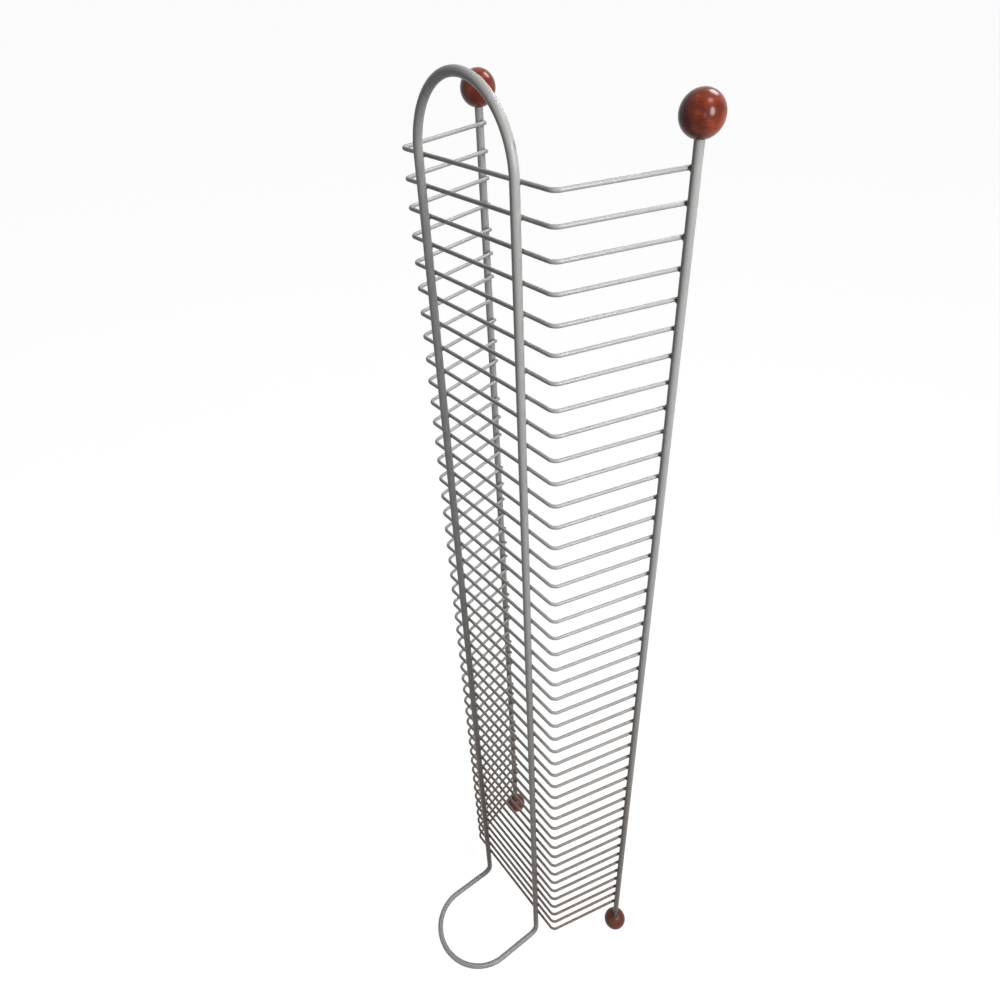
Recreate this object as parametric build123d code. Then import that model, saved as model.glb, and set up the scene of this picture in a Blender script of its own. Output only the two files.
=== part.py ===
from build123d import *
import os
from math import ceil, cos, log10, radians, sin, sqrt, tan

# A free-standing media storage tower: a stack of bent shelf wires between two front posts and a
# hairpin back rod, with a wooden ball on each end of each post.
# Row frame: +Z up, the open front towards -Y, the floor loop towards +Y, left is -X.
# Sizes are millimetres and degrees.

# Round stock and turned wood
wire_diameter = 2.8
rod_diameter = 6.0
ball_diameter = 25.0
weld_sink = 0.15  # how far a wire is pressed into a rod where they are welded

# Shelf wires, measured on the wire's centre line
shelf_count = 46
shelf_pitch = 18.6
back_half_width = 75.2  # to the sharp corner, before it is rounded
mouth_half_width = 95.5  # at the posts
shelf_depth = 80.0  # from the back run to the posts' centres
shelf_bend_radius = 6.2
wire_overrun = 3.0  # how far the wire ends run past the posts' centres
arm_rise_angle = 0.6  # the arms climb this much towards the front, against the uprights' square
wire_end_round = 0.5

# Back rod, measured on the rod's centre line
upright_half_spacing = 48.0
arch_rise = 1.0  # from the highest shelf wire to the centre of the half-round arch
lowest_shelf_height = 42.8  # from the floor loop to the lowest shelf wire, along the uprights
loop_straight = 53.0  # from the uprights to the start of the loop's half circle
foot_bend_radius = 9.0

# Stance
lean_angle = 3.0  # the rack leans back on its floor loop, so that cases stay in
rack_offset = -3.8  # from the middle of the whole depth to the uprights at the floor

# Wooden balls
ball_bore_depth = 14.0
bore_clearance = 0.1  # on the diameter, filled with glue
bore_flat_diameter = 9.0  # flat turned round the bore's mouth
bore_chamfer = 0.5
floor_flat_diameter = 7.0
left_ball_height = 27.6  # from the highest shelf wire to the top ball's centre
right_ball_height = 23.0  # this ball is pushed a little further down its post

rod_radius = rod_diameter / 2
wire_radius = wire_diameter / 2
ball_radius = ball_diameter / 2
weld_offset = rod_radius + wire_radius - weld_sink  # between the centre lines of a welded wire and rod

# Places in the rack's own frame, which leans back with the uprights. Its origin is on the floor
# loop's centre line between the uprights, its Z runs up them and its Y points away from the front.
back_run_y = -weld_offset
post_y = back_run_y - shelf_depth
post_x = mouth_half_width + weld_offset
top_shelf_z = lowest_shelf_height + (shelf_count - 1) * shelf_pitch
arch_centre_z = top_shelf_z + arch_rise

rack = Location((0, rack_offset, rod_radius), (-lean_angle, 0, 0))
lean_sine = sin(radians(lean_angle))
lean_cosine = cos(radians(lean_angle))


def row_point(x, y, z):
    """A point of the rack's own frame, given in the row frame."""
    return Vector(
        x,
        rack_offset + y * lean_cosine + z * lean_sine,
        rod_radius - y * lean_sine + z * lean_cosine,
    )


def round_bar(path, radius):
    """A round bar along a smooth path."""
    start = Plane(origin=path @ 0, z_dir=path % 0)
    return sweep(start * Circle(radius), path=path)


def flat_depth(flat_diameter):
    """From a ball's centre to a flat of the given diameter."""
    return sqrt(ball_radius**2 - (flat_diameter / 2) ** 2)


def shelf_wire():
    """The lowest shelf wire, in the rack's own frame, with saddles where the rods press into it."""
    splay = (mouth_half_width - back_half_width) / shelf_depth
    end_x = mouth_half_width + splay * wire_overrun
    end_y = post_y - wire_overrun
    corners = [
        (-end_x, end_y),
        (-back_half_width, back_run_y),
        (back_half_width, back_run_y),
        (end_x, end_y),
    ]
    path = FilletPolyline(*corners, radius=shelf_bend_radius)
    wire = round_bar(path, wire_radius)
    ends = wire.faces().filter_by(GeomType.PLANE).edges()
    wire = fillet(ends, wire_end_round)
    back_line = Axis((0, back_run_y, 0), (1, 0, 0))
    wire = wire.rotate(back_line, -arm_rise_angle)
    saddle = Cylinder(rod_radius, 4 * wire_diameter)
    for x, y in ((post_x, post_y), (upright_half_spacing, 0)):
        wire -= Pos(x, y, 0) * saddle
        wire -= Pos(-x, y, 0) * saddle
    return Pos(0, 0, lowest_shelf_height) * wire.solid()


def back_rod():
    """Arch, uprights, floor bends and floor loop: one half is swept, then mirrored and joined."""
    x = upright_half_spacing
    turn = radians(90 + lean_angle)
    bend_run = foot_bend_radius * tan(turn / 2)
    arch_top = row_point(0, 0, arch_centre_z + x)
    arch_middle = row_point(x * sin(radians(45)), 0, arch_centre_z + x * cos(radians(45)))
    arch_foot = row_point(x, 0, arch_centre_z)
    bend_top = row_point(x, 0, bend_run)
    corner = row_point(x, 0, 0)
    bend_end = corner + Vector(0, bend_run, 0)
    toward_centre = ((bend_top - corner) + (bend_end - corner)).normalized()
    corner_to_arc = foot_bend_radius / cos(turn / 2) - foot_bend_radius
    bend_middle = corner + toward_centre * corner_to_arc
    loop_start = corner + Vector(0, loop_straight, 0)
    loop_centre = Vector(0, loop_start.Y, loop_start.Z)
    loop_middle = loop_centre + Vector(x * cos(radians(45)), x * sin(radians(45)), 0)
    loop_end = loop_centre + Vector(0, x, 0)
    path = Wire([
        ThreePointArc(arch_top, arch_middle, arch_foot),
        Line(arch_foot, bend_top),
        ThreePointArc(bend_top, bend_middle, bend_end),
        Line(bend_end, loop_start),
        ThreePointArc(loop_start, loop_middle, loop_end),
    ])
    half = round_bar(path, rod_radius)
    print("back rod half: volume", half.volume, "section times length", Circle(rod_radius).area * path.length)
    return (half + mirror(half, about=Plane.YZ)).solid()


def ball(side, height, up):
    """A ball on a post. Up is 1 for a ball whose bore opens upwards, and -1 for one that caps the post."""
    blank = Sphere(ball_radius)
    waste = Box(ball_diameter, ball_diameter, ball_diameter, align=(Align.CENTER, Align.CENTER, Align.MIN))
    mouth = flat_depth(bore_flat_diameter)
    blank -= Pos(0, 0, mouth) * waste
    bore_radius = (rod_diameter + bore_clearance) / 2
    bore = Cylinder(bore_radius, ball_bore_depth, align=(Align.CENTER, Align.CENTER, Align.MAX))
    lead = Cone(bore_radius, bore_radius + bore_chamfer, bore_chamfer, align=(Align.CENTER, Align.CENTER, Align.MAX))
    blank -= Pos(0, 0, mouth) * bore
    blank -= Pos(0, 0, mouth) * lead
    turned = blank if up > 0 else Rot(X=180) * blank
    return rack * (Pos(side * post_x, post_y, height) * turned)


def foot_height():
    """Height of a foot ball's centre in the rack's own frame, so that its floor flat lies on the floor."""
    above_floor = flat_depth(floor_flat_diameter)
    return (above_floor - rod_radius + post_y * lean_sine) / lean_cosine


def foot_ball(side):
    """A ball with its bore upwards and a flat cut level with the floor."""
    below_floor = Box(
        4 * post_x, 4 * shelf_depth, ball_diameter, align=(Align.CENTER, Align.CENTER, Align.MAX)
    )
    return (ball(side, foot_height(), 1) - below_floor).solid()


def top_ball(side, height):
    """A ball that caps a post."""
    return ball(side, top_shelf_z + height, -1).solid()


def post(side, ball_height):
    """A straight rod that ends on the floors of its two balls' bores."""
    reach = ball_bore_depth - flat_depth(bore_flat_diameter)
    low = foot_height() - reach
    high = top_shelf_z + ball_height + reach
    rod = Cylinder(rod_radius, high - low, align=(Align.CENTER, Align.CENTER, Align.MIN))
    return (rack * (Pos(side * post_x, post_y, low) * rod)).solid()


def write(shape, node):
    shape.label = node
    export_step(shape, "parts/" + node + ".step")


os.makedirs("parts", exist_ok=True)
lowest_wire = shelf_wire()
digits = ceil(log10(shelf_count + 1))
for i in range(shelf_count):
    write(rack * (Pos(0, 0, i * shelf_pitch) * lowest_wire), "shelf_wire_" + str(i + 1).zfill(digits))
write(back_rod(), "back_rod")
for name, side, ball_height in (("left", -1, left_ball_height), ("right", 1, right_ball_height)):
    write(post(side, ball_height), name + "_post")
    write(top_ball(side, ball_height), name + "_top_ball")
    write(foot_ball(side), name + "_foot_ball")
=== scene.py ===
# %% [markdown]
# A media storage tower in painted wire and turned wood
#
# The real object is a rack of forty-six thin wires, each bent to a shallow U that widens towards
# the open front. Two straight posts carry the wire ends, and one thick rod, bent to a long hairpin,
# runs across their backs and ends in a loop on the floor. Each post has a wooden ball at both ends.
#
# The sizes are settled before this lesson starts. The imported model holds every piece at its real
# size, and this script only dresses it: smoother wire, weld beads, grain, paint and light.
# Everything here is in metres, with +Z up, the open front towards -Y and the floor loop towards +Y.

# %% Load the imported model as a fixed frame
from math import atan2, cos, pi, radians, sin, sqrt, tan

import bmesh
import bpy
from mathutils import Matrix, Vector


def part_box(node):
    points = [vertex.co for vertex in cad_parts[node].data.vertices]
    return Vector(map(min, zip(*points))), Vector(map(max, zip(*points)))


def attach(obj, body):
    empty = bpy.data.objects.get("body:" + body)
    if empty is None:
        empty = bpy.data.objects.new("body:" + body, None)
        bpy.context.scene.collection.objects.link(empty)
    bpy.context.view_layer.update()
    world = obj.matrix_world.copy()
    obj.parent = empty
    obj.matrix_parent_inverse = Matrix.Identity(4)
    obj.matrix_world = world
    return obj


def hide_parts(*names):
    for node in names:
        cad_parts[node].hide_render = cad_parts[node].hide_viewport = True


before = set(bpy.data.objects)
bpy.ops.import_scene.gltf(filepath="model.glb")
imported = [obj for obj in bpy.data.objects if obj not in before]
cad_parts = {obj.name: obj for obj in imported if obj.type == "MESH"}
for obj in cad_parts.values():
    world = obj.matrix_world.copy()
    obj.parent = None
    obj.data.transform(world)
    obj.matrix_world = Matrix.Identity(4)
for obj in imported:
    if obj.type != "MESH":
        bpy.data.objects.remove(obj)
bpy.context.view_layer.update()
scene = bpy.context.scene
print("packed pieces:", len(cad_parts))

# %% [markdown]
# The camera
#
# The photograph was taken from close by, a little above the top of the rack and behind it, with a
# wide lens that looks down. A camera can be aimed with a Track To constraint, or by its angles.
# Angles are used here, because a fit to the photograph gives them directly.

# %% The photograph's viewpoint
camera_place = Vector((-0.3783, 0.3024, 0.9699))
camera_turn = radians(-127.15)  # about Z, from looking along +Y
camera_dip = radians(35.02)
camera_roll = radians(-0.05)
camera_lens = 26.667  # millimetres, on a sensor 36 mm wide

camera_data = bpy.data.cameras.new("photo_view")
camera_data.sensor_width = 36
camera_data.lens = camera_lens
camera = bpy.data.objects.new("photo_view", camera_data)
camera.location = camera_place
heading = Matrix.Rotation(camera_turn, 3, "Z")
tip_down = Matrix.Rotation(radians(90) - camera_dip, 3, "X")
camera.rotation_euler = (heading @ tip_down @ Matrix.Rotation(camera_roll, 3, "Z")).to_euler()
scene.collection.objects.link(camera)
scene.camera = camera
print("camera at", tuple(camera_place))

# %% [markdown]
# Sizes
#
# The rack leans back on its loop by a few degrees. It is easier to build it upright and lean it
# afterwards, so there are two sets of coordinates: the rack's own, which follow the uprights, and
# the room's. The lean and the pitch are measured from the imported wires, so that they can't drift
# from the model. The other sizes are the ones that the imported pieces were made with.

# %% Sizes, and the way from the rack's coordinates to the room's
mm = 0.001
wire_radius = 1.4 * mm
rod_radius = 3.0 * mm
ball_radius = 12.5 * mm
weld_sink = 0.15 * mm

back_half_width = 75.2 * mm
mouth_half_width = 95.5 * mm
shelf_depth = 80.0 * mm
shelf_bend_radius = 6.2 * mm
wire_overrun = 3.0 * mm
wire_rise = radians(0.6)  # the arms climb this much towards the front, as the photograph shows

upright_half_spacing = 48.0 * mm
arch_rise = 1.0 * mm
lowest_shelf_height = 42.8 * mm
loop_straight = 53.0 * mm
foot_bend_radius = 9.0 * mm
rack_offset = -3.8 * mm

wires = sorted(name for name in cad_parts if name.startswith("shelf_wire_"))


def middle(node):
    """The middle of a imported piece's box."""
    low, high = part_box(node)
    return (low + high) / 2


climb = middle(wires[-1]) - middle(wires[0])
wire_pitch = climb.length / (len(wires) - 1)
lean = atan2(climb.y, climb.z)
to_room = Matrix.Translation((0, rack_offset, rod_radius)) @ Matrix.Rotation(-lean, 4, "X")

weld_offset = rod_radius + wire_radius - weld_sink
back_run_y = -weld_offset
post_y = back_run_y - shelf_depth
post_x = mouth_half_width + weld_offset
top_wire_height = lowest_shelf_height + (len(wires) - 1) * wire_pitch
print(len(wires), "wires", round(wire_pitch / mm, 2), "mm apart")
print("leaning", round(lean / radians(1), 2), "degrees")

# %% [markdown]
# Writing node trees as text
#
# Blender's materials and Geometry Nodes are both trees of nodes. Adding a Math node and two links
# for every plus sign makes long code that hides the idea. This small class wraps one output socket,
# so that an expression such as 1 - mask * 0.5 adds the Math nodes by itself. Any other kind of node
# comes from one method.

# %% A value in a node tree, and a writer of trees
class Value:
    """One output socket. An expression on values adds the Math nodes that work it out."""

    def __init__(self, writer, socket):
        self.writer = writer
        self.socket = socket

    def maths(self, operation, *values):
        inputs = dict(enumerate(values))
        return self.writer.add("ShaderNodeMath", {"operation": operation}, inputs)

    def __add__(self, other):
        return self.maths("ADD", self, other)

    def __sub__(self, other):
        return self.maths("SUBTRACT", self, other)

    def __rsub__(self, other):
        return self.maths("SUBTRACT", other, self)

    def __mul__(self, other):
        return self.maths("MULTIPLY", self, other)

    def __truediv__(self, other):
        return self.maths("DIVIDE", self, other)

    def __pow__(self, other):
        return self.maths("POWER", self, other)

    __radd__ = __add__
    __rmul__ = __mul__

    def kept_between_0_and_1(self):
        return self.writer.add("ShaderNodeClamp", {}, {"Value": self})


class Writer:
    """Writes one node tree."""

    def __init__(self, tree):
        self.tree = tree

    def add(self, kind, settings=None, inputs=None, output=0):
        """Adds a node: its settings first, then the values or links of its sockets."""
        node = self.tree.nodes.new(kind)
        for name, setting in (settings or {}).items():
            if name == "stops":
                self.set_stops(node.color_ramp, setting)
            else:
                setattr(node, name, setting)
        for key, value in (inputs or {}).items():
            if isinstance(value, Value):
                self.tree.links.new(value.socket, node.inputs[key])
            else:
                node.inputs[key].default_value = value
        return Value(self, node.outputs[output] if node.outputs else None)

    def set_stops(self, ramp, stops):
        """Fills a colour ramp from pairs of a place and a colour."""
        while len(ramp.elements) < len(stops):
            ramp.elements.new(1)
        for element, (place, colour) in zip(ramp.elements, stops):
            element.position = place
            element.color = (*colour, 1)


def shader_writer(name):
    """A new, empty material, and the writer of its tree."""
    material = bpy.data.materials.new(name)
    material.use_nodes = True
    material.node_tree.nodes.clear()
    return material, Writer(material.node_tree)


# %% [markdown]
# Room and light
#
# The floor and the room around it are plain and pale. The camera sees both as white, and so do
# polished surfaces, but the light that they throw on the rack is that of a dim grey room, so the
# lamps alone shape the rods. The part of the floor that the lamps light stays in its colour, and
# the rack's shadow falls on it.

# %% Floor and room
floor_reach = 150.0
floor_grey = 0.14
floor_glow = 0.96
room_level = 0.04


def seen_or_mirrored(w):
    """1 for what the camera sees, itself or in a polished or clear surface, and 0 for plain light."""
    names = ("Is Camera Ray", "Is Glossy Ray", "Is Transmission Ray")
    rays = w.tree.nodes.new("ShaderNodeLightPath")
    camera_ray, glossy_ray, clear_ray = (Value(w, rays.outputs[name]) for name in names)
    return (camera_ray + glossy_ray + clear_ray).kept_between_0_and_1()


floor_material, w = shader_writer("pale_floor")
pale = w.add(
    "ShaderNodeBsdfPrincipled",
    {},
    {
        "Base Color": (floor_grey, floor_grey, floor_grey, 1),
        "Roughness": 0.9,
        "Specular IOR Level": 0.0,
        "Emission Color": (1, 1, 1, 1),
        "Emission Strength": seen_or_mirrored(w) * floor_glow,
    },
)
w.add("ShaderNodeOutputMaterial", {}, {"Surface": pale})

floor_mesh = bpy.data.meshes.new("floor")
corners = [(-1, -1, 0), (1, -1, 0), (1, 1, 0), (-1, 1, 0)]
floor_mesh.from_pydata([Vector(c) * floor_reach for c in corners], [], [(0, 1, 2, 3)])
floor_mesh.materials.append(floor_material)
floor = bpy.data.objects.new("floor", floor_mesh)
scene.collection.objects.link(floor)

world = bpy.data.worlds.new("room")
world.use_nodes = True
world.node_tree.nodes.clear()
w = Writer(world.node_tree)
room_strength = room_level + seen_or_mirrored(w) * (1 - room_level)
room = w.add("ShaderNodeBackground", {}, {"Color": (1, 1, 1, 1), "Strength": room_strength})
w.add("ShaderNodeOutputWorld", {}, {"Surface": room})
scene.world = world
scene.view_settings.view_transform = "Standard"
print("floor", 2 * floor_reach, "m wide")

# %% [markdown]
# Four soft lamps
#
# The photograph doesn't show its lamps. These four were placed by trial, until the highlights on the
# balls and the bright and dark sides of the rods came near to the photograph's. They act like a tall
# window on the left, a lamp above the front, a pale wall behind on the left, and a ceiling. The rods
# are lighter at the top than near the floor, so the first two are close. Area lamps are used, because
# sun lamps would light the top and the foot alike. Each is given by the direction that it comes from,
# and by the level at which it lights a white card that faces it, where 1 is white.

# %% Lamps
watts_for_level_1 = pi**2  # at 1 m, for an area lamp
lit_place = Vector((0, 0, 0.72))


def soft_lamp(name, direction, distance, width, height, level):
    """An area lamp that faces the upper part of the rack from the given direction."""
    data = bpy.data.lights.new(name, "AREA")
    data.shape = "ELLIPSE"
    data.size = width
    data.size_y = height
    data.energy = level * watts_for_level_1 * distance**2
    lamp = bpy.data.objects.new(name, data)
    towards = Vector(direction).normalized()
    lamp.location = lit_place + towards * distance
    lamp.rotation_euler = towards.to_track_quat("Z", "Y").to_euler()
    lamp.visible_camera = False
    scene.collection.objects.link(lamp)
    print(name, "lamp at", tuple(round(v, 2) for v in lamp.location))
    return lamp


soft_lamp("window", (-0.91, 0.0, 0.42), 0.95, 0.30, 0.45, 0.85)
soft_lamp("front", (0.0, -0.60, 0.80), 1.1, 0.4, 0.4, 0.42)
soft_lamp("wall", (-0.80, 0.58, 0.10), 2.5, 0.5, 0.8, 0.08)
soft_lamp("ceiling", (-0.50, -0.05, 0.86), 5.0, 1.6, 1.6, 0.30)

# %% [markdown]
# Silver paint
#
# The metal is steel with a satin silver paint over it. The paint is partly metallic, a little
# uneven like the skin of an orange, and darker in the creases beside the welds: partly thin,
# scorched paint and partly painted shade. Towards the floor it is painted darker and browner, as
# painted shade and a painted reflection of a brown floor. A fine noise makes the bump. The dark
# creases don't come from a noise, but from how far each place is from the nearest weld, which is
# worked out from the pitch of the wires.

# %% Silver paint
paint_grey = (0.40, 0.40, 0.393, 1)
# Painted shade in the weld creases, over paint that is thin and scorched there
crease_shade_and_scorch_grey = (0.06, 0.056, 0.052, 1)
# Painted shade and a painted reflection of a brown floor, darker and browner towards the floor
painted_shade_and_floor_reflection = (0.22, 0.165, 0.135, 1)
painted_shade_height = 0.55  # metres above the floor, where the painted shade and floor reflection begin
crease_reach = 2.2 * mm  # how far from a weld the paint is still darker
peel_depth = 0.1 * mm


def colour_mix(w, factor, first, second):
    """One colour where the factor is 0, and another where it is 1."""
    settings = {"data_type": "RGBA"}
    return w.add("ShaderNodeMix", settings, {0: factor, 6: first, 7: second}, output=2)


def noise(w, place, scale, detail):
    """A smooth random value around 0.5 at each place."""
    inputs = {"Vector": place, "Scale": scale, "Detail": detail}
    return w.add("ShaderNodeTexNoise", {}, inputs)


def split(w, vector):
    """The three parts of a vector."""
    parts = w.add("ShaderNodeSeparateXYZ", {}, {"Vector": vector}).socket.node
    return [Value(w, socket) for socket in parts.outputs]


def distance_to_weld(w, place):
    """How far a place on the rack is from the nearest weld."""
    tilt = {"rotation_type": "X_AXIS"}
    loop_middle = (0, rack_offset, rod_radius)
    turned_back = {"Vector": place, "Center": loop_middle, "Angle": lean}
    upright = w.add("ShaderNodeVectorRotate", tilt, turned_back)
    x, y, z = split(w, upright)
    side = x.maths("ABSOLUTE", x)
    height = z - rod_radius - lowest_shelf_height + wire_pitch / 2
    level = height.maths("WRAP", height, wire_pitch, 0.0) - wire_pitch / 2
    weld_places = [(upright_half_spacing, -rod_radius), (post_x - rod_radius, post_y)]
    distances = []
    for weld_x, weld_y in weld_places:
        across = side - weld_x
        along = y - rack_offset - weld_y
        above = level + weld_y * tan(wire_rise)
        distances.append((across * across + along * along + above * above) ** 0.5)
    return distances[0].maths("MINIMUM", *distances)


def silver_paint():
    material, w = shader_writer("silver_paint")
    place = w.add("ShaderNodeTexCoord", output=3)
    peel = noise(w, place, 900.0, 2.0)
    mottle = noise(w, place, 160.0, 3.0)
    cloud = noise(w, place, 14.0, 2.0)
    height = split(w, place)[2]
    # Painted shade and floor reflection: darker and browner towards the floor, unevenly
    low = (1 - height / painted_shade_height).kept_between_0_and_1() * (height * 40 - 0.4).kept_between_0_and_1()
    painted_shade_and_reflection = (low * 1.1 + mottle * 0.3 + cloud * 0.3 - 0.3).kept_between_0_and_1()
    # Painted shade in the creases round each weld, over thin, scorched paint
    crease_shade_and_scorch = (1.6 - distance_to_weld(w, place) / crease_reach).kept_between_0_and_1()
    colour = colour_mix(w, painted_shade_and_reflection, paint_grey, painted_shade_and_floor_reflection)
    colour = colour_mix(w, crease_shade_and_scorch * 0.8, colour, crease_shade_and_scorch_grey)
    bump = w.add("ShaderNodeBump", {}, {"Strength": 0.12, "Distance": peel_depth, "Height": peel})
    inputs = {
        "Base Color": colour,
        "Metallic": 0.05,
        "Roughness": 0.28 + mottle * 0.12,
        "Specular IOR Level": 0.2,
        "Normal": bump,
    }
    surface = w.add("ShaderNodeBsdfPrincipled", {}, inputs)
    w.add("ShaderNodeOutputMaterial", {}, {"Surface": surface})
    return material


silver = silver_paint()
print("material:", silver.name, "with", len(silver.node_tree.nodes), "nodes")

# %% [markdown]
# Lacquered wood
#
# The balls are turned from a light wood, stained a deep reddish brown and lacquered. Fine darker
# streaks run across each ball, square to its bore. The bore and the flat round its mouth are darkened
# with painted shade. Near the floor the feet are painted a paler, greyer brown, a painted reflection
# of the floor, and are less glossy. The pattern follows each ball's own coordinates, which its mesh
# carries as an attribute, so it turns with the ball and differs from one to the next. In these
# coordinates the ball's radius is 1 and its bore opens along +Z.

# %% Lacquered wood
stain_dark = (0.070, 0.009, 0.003)
stain_mid = (0.15, 0.020, 0.007)
stain_light = (0.34, 0.058, 0.018)
# Painted shade in the bore and on the flat round its mouth
painted_bore_shade_brown = (0.030, 0.012, 0.007, 1)
# A painted reflection of the floor on the feet
wood_floor_reflection = (0.150, 0.075, 0.050, 1)
pore_depth = 0.1 * mm


def lacquered_wood():
    material, w = shader_writer("lacquered_wood")
    place = w.add("ShaderNodeAttribute", {"attribute_name": "grain_place"}, output=1)
    stretched = w.add("ShaderNodeMapping", {}, {"Vector": place, "Scale": (0.7, 5.0, 7.0)})
    fibres = noise(w, stretched, 2.4, 5.0)
    pores = noise(w, stretched, 9.0, 3.0)
    patches = noise(w, place, 1.6, 2.0)
    tone = (fibres * 0.38 + patches * 0.95 + pores * 0.12 - 0.17).kept_between_0_and_1()
    stops = [(0.25, stain_dark), (0.5, stain_mid), (0.8, stain_light)]
    colour = w.add("ShaderNodeValToRGB", {"stops": stops}, {"Fac": tone})
    x, y, z = split(w, place)
    from_axis = (x * x + y * y) ** 0.5
    # Painted shade in the bore and on the flat round its mouth
    painted_bore_shade = (7.2 - from_axis * 20).kept_between_0_and_1() * (z * 10 - 6).kept_between_0_and_1()
    colour = colour_mix(w, painted_bore_shade * 0.85, colour, painted_bore_shade_brown)
    # Near the floor: a painted reflection of the floor, and a rougher, less glossy lacquer
    above_floor = split(w, w.add("ShaderNodeTexCoord", output=3))[2]
    floor_reflection_and_dullness = (1 - above_floor * 12).kept_between_0_and_1() * (0.35 + patches * 0.5)
    colour = colour_mix(w, floor_reflection_and_dullness, colour, wood_floor_reflection)
    bump = w.add("ShaderNodeBump", {}, {"Strength": 0.08, "Distance": pore_depth, "Height": pores})
    inputs = {
        "Base Color": colour,
        "Roughness": 0.16 + pores * 0.08 + floor_reflection_and_dullness * 0.4,
        "Specular IOR Level": 0.22,
        "Normal": bump,
    }
    surface = w.add("ShaderNodeBsdfPrincipled", {}, inputs)
    w.add("ShaderNodeOutputMaterial", {}, {"Surface": surface})
    return material


wood = lacquered_wood()
print("material:", wood.name, "with", len(wood.node_tree.nodes), "nodes")

# %% [markdown]
# Paths with bends
#
# Wire and rod are bent round a former, so every corner is an arc that touches both straights. The
# arc's points could be typed in, but then a change of radius would mean typing them again. This
# function works them out from the corner and the points before and after it.

# %% A bend between two straights
def bend(before, corner, after, radius, steps):
    """The points of an arc that rounds a corner."""
    back = (before - corner).normalized()
    ahead = (after - corner).normalized()
    half_angle = back.angle(ahead) / 2
    centre = corner + (back + ahead).normalized() * radius / sin(half_angle)
    run = radius / tan(half_angle)
    start = corner + back * run - centre
    end = corner + ahead * run - centre
    turn = start.angle(end)
    points = []
    for i in range(steps + 1):
        t = i / steps
        share_start = sin((1 - t) * turn) / sin(turn)
        share_end = sin(t * turn) / sin(turn)
        points.append(centre + start * share_start + end * share_end)
    return points


def curve_object(name, points, closed=False):
    """A curve of straight runs through the points, for a Geometry Nodes tree to start from."""
    curve = bpy.data.curves.new(name, "CURVE")
    curve.dimensions = "3D"
    spline = curve.splines.new("POLY")
    spline.points.add(len(points) - 1)
    for place, point in zip(spline.points, points):
        place.co = (*point, 1)
    spline.use_cyclic_u = closed
    source = bpy.data.objects.new(name, curve)
    scene.collection.objects.link(source)
    return source


# %% [markdown]
# Running a Geometry Nodes tree
#
# A tree is given to an object as a modifier. Its inputs are set by their identifiers, because two
# inputs may share a name. The result is then taken off as a plain mesh, and the object that it
# grew from is deleted, so nothing live is left on the finished piece.

# %% Making and running trees
def geometry_writer(name, inputs):
    """A new Geometry Nodes tree with named inputs, its writer, and the inputs' values."""
    tree = bpy.data.node_groups.new(name, "GeometryNodeTree")
    tree.interface.new_socket("Geometry", in_out="OUTPUT", socket_type="NodeSocketGeometry")
    tree.interface.new_socket("Geometry", in_out="INPUT", socket_type="NodeSocketGeometry")
    for label, kind in inputs.items():
        tree.interface.new_socket(label, in_out="INPUT", socket_type="NodeSocket" + kind)
    w = Writer(tree)
    group = tree.nodes.new("NodeGroupInput")
    given = {socket.name: Value(w, socket) for socket in group.outputs if socket.name}
    return w, given


def finish_tree(w, geometry, paint):
    """Ends a tree: real geometry in place of instances, smooth faces, and one material."""
    real = w.add("GeometryNodeRealizeInstances", {}, {"Geometry": geometry})
    smooth = w.add("GeometryNodeSetShadeSmooth", {}, {"Geometry": real})
    painted = w.add("GeometryNodeSetMaterial", {}, {"Geometry": smooth, "Material": paint})
    w.add("NodeGroupOutput", {}, {"Geometry": painted})


def grow(name, source, tree, place, **values):
    """The mesh that a tree makes from a source object, put in its place as a piece of its own."""
    modifier = source.modifiers.new(tree.name, "NODES")
    modifier.node_group = tree
    for item in tree.interface.items_tree:
        key = item.name.lower().replace(" ", "_")
        if item.in_out == "INPUT" and key in values:
            modifier[item.identifier] = values[key]
    evaluated = source.evaluated_get(bpy.context.evaluated_depsgraph_get())
    mesh = bpy.data.meshes.new_from_object(evaluated)
    mesh.transform(place)
    source.modifiers.remove(modifier)
    bpy.data.objects.remove(source)
    piece = bpy.data.objects.new(name, mesh)
    scene.collection.objects.link(piece)
    print(name, "has", len(mesh.polygons), "faces")
    return piece


def put_on_rack(piece, slot, *nodes):
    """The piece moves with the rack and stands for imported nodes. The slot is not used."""
    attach(piece, "root")
    if nodes:
        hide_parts(*nodes)


# %% [markdown]
# Shelf wires
#
# One wire is bent, and forty-six are welded in. The tree does the same: it turns one path into a
# wire, thickened a little where the weld presses it and rounded off at its cut ends, and puts a
# copy at each step of the pitch. The arms climb a little towards the front, and hand welding never
# leaves them quite parallel, so each copy is also turned by a fraction of a degree, from a fixed
# seed.

# %% The path of one shelf wire
splay = (mouth_half_width - back_half_width) / shelf_depth
wire_end = Vector((mouth_half_width + splay * wire_overrun, post_y - wire_overrun, 0))
wire_corner = Vector((back_half_width, back_run_y, 0))
pressed_length = 7.0 * mm  # at each end, where welding has pressed the wire a little thicker
pressed_swell = 0.08
least_thickness = 0.12  # of a cut end's face, against the wire
bend_steps = 9


def mirrored(point):
    return Vector((-point.x, point.y, point.z))


def one_side_of_wire():
    """Points from the cut end of a wire, round its bend, to the back run."""
    along = (wire_corner - wire_end).normalized()
    near_end = [0, 0.08, 0.3, 0.65, 1.1, 1.8, 3.2, 5.5]
    points = [wire_end + along * distance * mm for distance in near_end]
    return points + bend(wire_end, wire_corner, mirrored(wire_corner), shelf_bend_radius, bend_steps)


side = one_side_of_wire()
wire_path = side + [mirrored(point) for point in reversed(side)]
print("one wire:", len(wire_path), "points")

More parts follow.
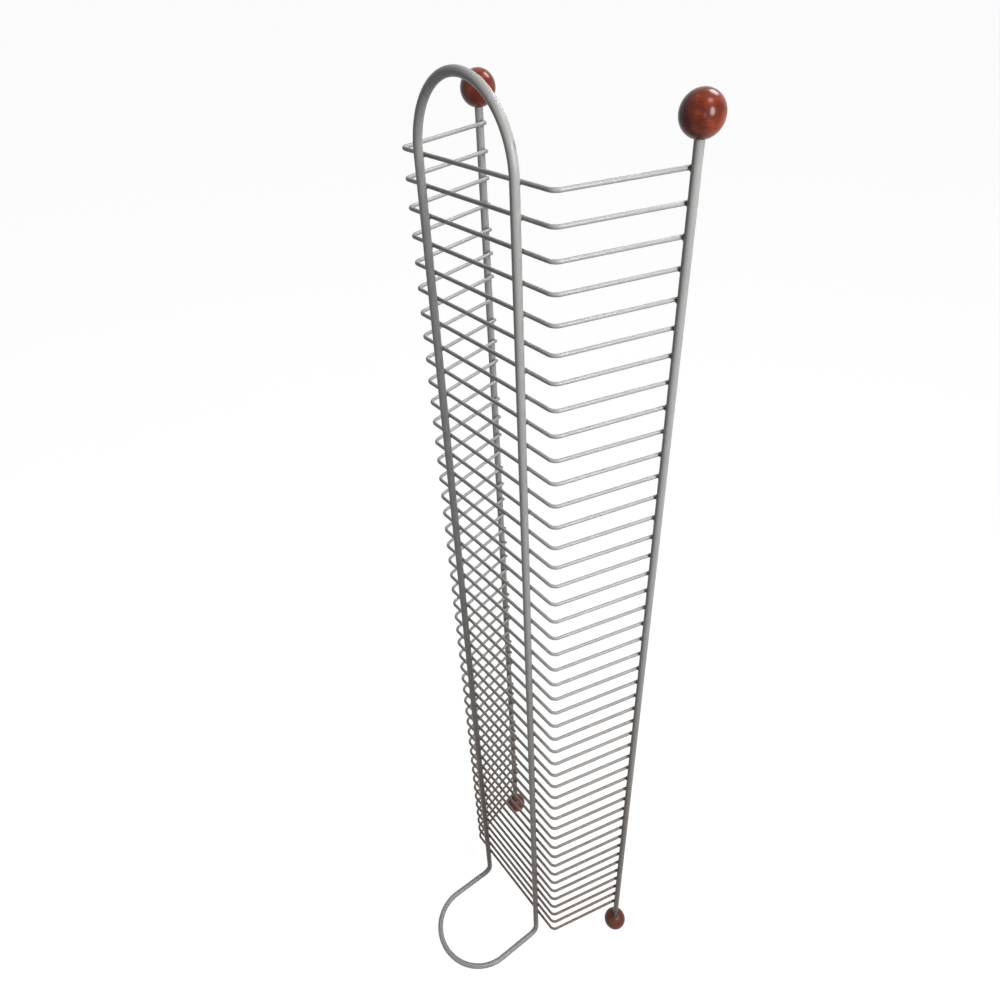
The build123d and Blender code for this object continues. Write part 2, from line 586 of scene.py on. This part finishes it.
# %% The tree that makes the stack of wires
def stack_of_wires():
    sizes = {
        "Wires": "Int",
        "Pitch": "Float",
        "Lowest": "Float",
        "Wire radius": "Float",
        "End round": "Float",
        "Rise": "Float",
        "Unevenness": "Float",
        "Seed": "Int",
        "Paint": "Material",
    }
    w, given = geometry_writer("stack of wires", sizes)
    length = w.add("GeometryNodeSplineLength")
    along = w.add("GeometryNodeSplineParameter", output=1)
    from_end = along.maths("MINIMUM", along, length - along)
    into_round = (1 - from_end / given["End round"]).kept_between_0_and_1()
    rounding = (1 - into_round ** 2) ** 0.5
    pressed = (1 - from_end / pressed_length).kept_between_0_and_1() * pressed_swell
    thickness = rounding.maths("MAXIMUM", rounding, least_thickness) * (1 + pressed)
    path = w.add("GeometryNodeSetCurveRadius", {}, {"Curve": given["Geometry"], "Radius": thickness})
    circle = {"Resolution": 14, "Radius": given["Wire radius"]}
    section = w.add("GeometryNodeCurvePrimitiveCircle", {}, circle)
    swept = {"Curve": path, "Profile Curve": section, "Scale": thickness, "Fill Caps": True}
    wire = w.add("GeometryNodeCurveToMesh", {}, swept)
    start = w.add("ShaderNodeCombineXYZ", {}, {"Z": given["Lowest"]})
    step = w.add("ShaderNodeCombineXYZ", {}, {"Z": given["Pitch"]})
    rungs = {"Count": given["Wires"], "Start Location": start, "Offset": step}
    line = w.add("GeometryNodeMeshLine", {}, rungs)
    uneven = given["Unevenness"]
    rise = given["Rise"]
    most = w.add("ShaderNodeCombineXYZ", {}, {"X": uneven - rise, "Y": uneven * 0.5})
    least = w.add("ShaderNodeCombineXYZ", {}, {"X": 0 - uneven - rise, "Y": uneven * -0.5})
    ranges = {0: least, 1: most, "Seed": given["Seed"]}
    turn = w.add("FunctionNodeRandomValue", {"data_type": "FLOAT_VECTOR"}, ranges)
    stack = w.add("GeometryNodeInstanceOnPoints", {}, {"Points": line, "Instance": wire, "Rotation": turn})
    finish_tree(w, stack, given["Paint"])
    return w.tree


shelf_wires = grow(
    "shelf_wires",
    curve_object("wire_path", wire_path),
    stack_of_wires(),
    to_room,
    wires=len(wires),
    pitch=wire_pitch,
    lowest=lowest_shelf_height,
    wire_radius=wire_radius,
    end_round=0.9 * mm,
    rise=wire_rise,
    unevenness=radians(0.12),
    seed=7,
    paint=silver,
)
put_on_rack(shelf_wires, "silver_paint", *wires)

# %% [markdown]
# Rods
#
# The hairpin rod and the two posts are the same round bar, bent or straight. One tree with a path
# and a radius makes all three.

# %% The tree that makes a bar along a path
bar_sides = 28


def bar_along_path():
    sizes = {"Bar radius": "Float", "Sides": "Int", "Paint": "Material"}
    w, given = geometry_writer("bar along path", sizes)
    circle = {"Resolution": given["Sides"], "Radius": given["Bar radius"]}
    section = w.add("GeometryNodeCurvePrimitiveCircle", {}, circle)
    swept = {"Curve": given["Geometry"], "Profile Curve": section, "Fill Caps": True}
    bar = w.add("GeometryNodeCurveToMesh", {}, swept)
    finish_tree(w, bar, given["Paint"])
    return w.tree


bar_tree = bar_along_path()

# %% The hairpin rod: arch, uprights, floor bends and loop
half_circle_steps = 48
foot_bend_steps = 12


def half_circle(centre, across, up, steps):
    """Points of a half circle that starts across from the centre and goes by way of up."""
    points = []
    for i in range(steps + 1):
        angle = pi * i / steps
        points.append(centre + across * cos(angle) + up * sin(angle))
    return points


def hairpin_path():
    """Round the whole rod in the room's coordinates: over the arch, down, round the loop, up."""
    width = upright_half_spacing
    arch_centre = Vector((0, 0, top_wire_height + arch_rise))
    arch = half_circle(arch_centre, Vector((width, 0, 0)), Vector((0, 0, width)), half_circle_steps)
    arch = [to_room @ point for point in arch]
    right_corner = to_room @ Vector((width, 0, 0))
    left_corner = mirrored(right_corner)
    straight = Vector((0, loop_straight, 0))
    loop_centre = Vector((0, right_corner.y, right_corner.z)) + straight
    loop = half_circle(loop_centre, Vector((-width, 0, 0)), Vector((0, width, 0)), half_circle_steps)
    left_bend = bend(arch[-1], left_corner, left_corner + straight, foot_bend_radius, foot_bend_steps)
    right_bend = [mirrored(point) for point in reversed(left_bend)]
    return arch + left_bend + loop + right_bend


hairpin = grow(
    "hairpin_rod",
    curve_object("hairpin_path", hairpin_path(), closed=True),
    bar_tree,
    Matrix.Identity(4),
    bar_radius=rod_radius,
    sides=bar_sides,
    paint=silver,
)
put_on_rack(hairpin, "silver_paint", "back_rod")

# %% [markdown]
# Posts and balls
#
# A ball is turned on a lathe, and Blender's Spin does the same to an outline. Each ball has a small
# flat round its bore, with a chamfer that takes the post, and the foot balls are cut flat where
# they stand. Their places are worked out from the rack's sizes.

# %% Outline of a ball, from its bore to its far pole
bore_radius = 3.05 * mm
bore_chamfer = 0.5 * mm
bore_depth = 14.0 * mm
bore_flat_radius = 4.5 * mm
floor_flat_radius = 3.5 * mm
edge_softening = 0.25 * mm
outline_steps = 40

mouth_height = sqrt(ball_radius**2 - bore_flat_radius**2)
floor_height = sqrt(ball_radius**2 - floor_flat_radius**2)


def ball_outline():
    """Distance from the axis and height, from the bore's floor, up its wall, and over the ball."""
    outline = [
        (0, mouth_height - bore_depth),
        (bore_radius, mouth_height - bore_depth),
        (bore_radius, mouth_height - bore_chamfer),
        (bore_radius + bore_chamfer, mouth_height),
        (bore_flat_radius - edge_softening, mouth_height),
    ]
    first = pi / 2 - atan2(bore_flat_radius + edge_softening, mouth_height)
    for i in range(outline_steps + 1):
        angle = first - (first + pi / 2) * i / outline_steps
        outline.append((ball_radius * cos(angle), ball_radius * sin(angle)))
    outline[-1] = (0, -ball_radius)
    return outline


# %% Turn a ball, and give it its own grain
ball_sides = 64
merge_distance = 0.002 * mm
sharpest_smooth_edge = radians(25)


def turned_ball(name, centre, up, grain_turn, stands):
    """A ball centred at a point of the rack, with its bore upwards where up is 1."""
    shape = bmesh.new()
    rim = [shape.verts.new((distance, 0, height * up)) for distance, height in ball_outline()]
    edges = [shape.edges.new(pair) for pair in zip(rim, rim[1:])]
    profile = rim + edges
    axis = (0, 0, 1)
    bmesh.ops.spin(shape, geom=profile, axis=axis, cent=(0, 0, 0), angle=2 * pi, steps=ball_sides)
    bmesh.ops.remove_doubles(shape, verts=shape.verts, dist=merge_distance)
    grain = shape.verts.layers.float_vector.new("grain_place")
    for vertex in shape.verts:
        seen = Vector((vertex.co.x, vertex.co.y, vertex.co.z * up))
        vertex[grain] = Matrix.Rotation(grain_turn, 3, "Z") @ seen / ball_radius
    shape.transform(to_room @ Matrix.Translation(centre))
    if stands:
        everything = shape.verts[:] + shape.edges[:] + shape.faces[:]
        floor_plane = {"plane_co": (0, 0, 0), "plane_no": (0, 0, -1)}
        cut = bmesh.ops.bisect_plane(shape, geom=everything, **floor_plane, clear_outer=True)
        rim = [e for e in cut["geom_cut"] if isinstance(e, bmesh.types.BMEdge)]
        bmesh.ops.holes_fill(shape, edges=rim, sides=0)
    bmesh.ops.recalc_face_normals(shape, faces=shape.faces)
    for face in shape.faces:
        face.smooth = True
    for edge in shape.edges:
        edge.smooth = edge.calc_face_angle(0) < sharpest_smooth_edge
    mesh = bpy.data.meshes.new(name)
    shape.to_mesh(mesh)
    shape.free()
    mesh.materials.append(wood)
    piece = bpy.data.objects.new(name, mesh)
    scene.collection.objects.link(piece)
    print(name, "has", len(mesh.polygons), "faces")
    return piece


# %% Where the balls are, and the posts between them
foot_height = (floor_height - rod_radius + post_y * sin(lean)) / cos(lean)
reach = bore_depth - mouth_height
top_ball_heights = {"left": 27.6 * mm, "right": 23.0 * mm}
grain_turns = {"left": 2.2, "right": 0.8}

for side_name, side_sign in (("left", -1), ("right", 1)):
    foot = Vector((side_sign * post_x, post_y, foot_height))
    top = Vector((side_sign * post_x, post_y, top_wire_height + top_ball_heights[side_name]))
    grain_turn = grain_turns[side_name]
    foot_piece = turned_ball(side_name + "_foot", foot, 1, grain_turn + 1, True)
    top_piece = turned_ball(side_name + "_knob", top, -1, grain_turn, False)
    put_on_rack(foot_piece, "lacquered_wood", side_name + "_foot_ball")
    put_on_rack(top_piece, "lacquered_wood", side_name + "_top_ball")
    ends = [foot - Vector((0, 0, reach)), top + Vector((0, 0, reach))]
    rod = grow(
        side_name + "_front_rod",
        curve_object(side_name + "_post_path", ends),
        bar_tree,
        to_room,
        bar_radius=rod_radius,
        sides=bar_sides,
        paint=silver,
    )
    put_on_rack(rod, "silver_paint", side_name + "_post")

# %% [markdown]
# Weld beads
#
# Every wire is welded to both uprights and both posts. The weld squeezes a little metal out of the
# joint, which shows as a small uneven collar between wire and rod. Four points mark the joints of
# one wire, and a tree repeats them up the stack and puts a bead on each, with a size and a
# roughness of its own from a fixed seed.

# %% The four joints of one wire
def joint_marks():
    """A mesh of four points, each with the direction that its wire runs in."""
    at_upright = Vector((upright_half_spacing, -rod_radius, 0))
    at_post = Vector((post_x - rod_radius, post_y, -post_y * tan(wire_rise)))
    along_side = atan2((wire_corner - wire_end).y, (wire_corner - wire_end).x)
    marks = [
        (at_upright, 0.0),
        (mirrored(at_upright), 0.0),
        (at_post, along_side),
        (mirrored(at_post), pi - along_side),
    ]
    mesh = bpy.data.meshes.new("joint_marks")
    mesh.from_pydata([place for place, turn in marks], [], [])
    turns = mesh.attributes.new("turn", "FLOAT", "POINT")
    for item, (place, turn) in zip(turns.data, marks):
        item.value = turn
    source = bpy.data.objects.new("joint_marks", mesh)
    scene.collection.objects.link(source)
    return source


# %% The tree that beads the joints
def beads_on_joints():
    sizes = {
        "Wires": "Int",
        "Pitch": "Float",
        "Lowest": "Float",
        "Bead": "Vector",
        "Roughness": "Float",
        "Seed": "Int",
        "Paint": "Material",
    }
    w, given = geometry_writer("beads on joints", sizes)
    start = w.add("ShaderNodeCombineXYZ", {}, {"Z": given["Lowest"]})
    step = w.add("ShaderNodeCombineXYZ", {}, {"Z": given["Pitch"]})
    rungs = {"Count": given["Wires"], "Start Location": start, "Offset": step}
    line = w.add("GeometryNodeMeshLine", {}, rungs)
    rows = w.add("GeometryNodeInstanceOnPoints", {}, {"Points": line, "Instance": given["Geometry"]})
    joints = w.add("GeometryNodeRealizeInstances", {}, {"Geometry": rows})
    ball = w.add("GeometryNodeMeshUVSphere", {}, {"Segments": 10, "Rings": 7, "Radius": 1.0})
    bead = w.add("GeometryNodeTransform", {}, {"Geometry": ball, "Scale": given["Bead"]})
    turn = w.add("GeometryNodeInputNamedAttribute", {"data_type": "FLOAT"}, {"Name": "turn"})
    rotation = w.add("ShaderNodeCombineXYZ", {}, {"Z": turn})
    ranges = {0: (0.8, 0.85, 0.8), 1: (1.15, 1.1, 1.2), "Seed": given["Seed"]}
    size = w.add("FunctionNodeRandomValue", {"data_type": "FLOAT_VECTOR"}, ranges)
    placed = w.add(
        "GeometryNodeInstanceOnPoints",
        {},
        {"Points": joints, "Instance": bead, "Rotation": rotation, "Scale": size},
    )
    real = w.add("GeometryNodeRealizeInstances", {}, {"Geometry": placed})
    lumps = w.add("ShaderNodeTexNoise", {}, {"Scale": 700.0, "Detail": 1.0}, output=1)
    from_middle = {0: lumps, 1: (0.5, 0.5, 0.5)}
    centred = w.add("ShaderNodeVectorMath", {"operation": "SUBTRACT"}, from_middle)
    scaled = {"Vector": centred, "Scale": given["Roughness"]}
    moved = w.add("ShaderNodeVectorMath", {"operation": "SCALE"}, scaled)
    rough = w.add("GeometryNodeSetPosition", {}, {"Geometry": real, "Offset": moved})
    finish_tree(w, rough, given["Paint"])
    return w.tree


weld_beads = grow(
    "weld_beads",
    joint_marks(),
    beads_on_joints(),
    to_room,
    wires=len(wires),
    pitch=wire_pitch,
    lowest=lowest_shelf_height,
    bead=(1.9 * mm, 0.9 * mm, 2.2 * mm),
    roughness=0.9 * mm,
    seed=11,
    paint=silver,
)
put_on_rack(weld_beads, "silver_paint")
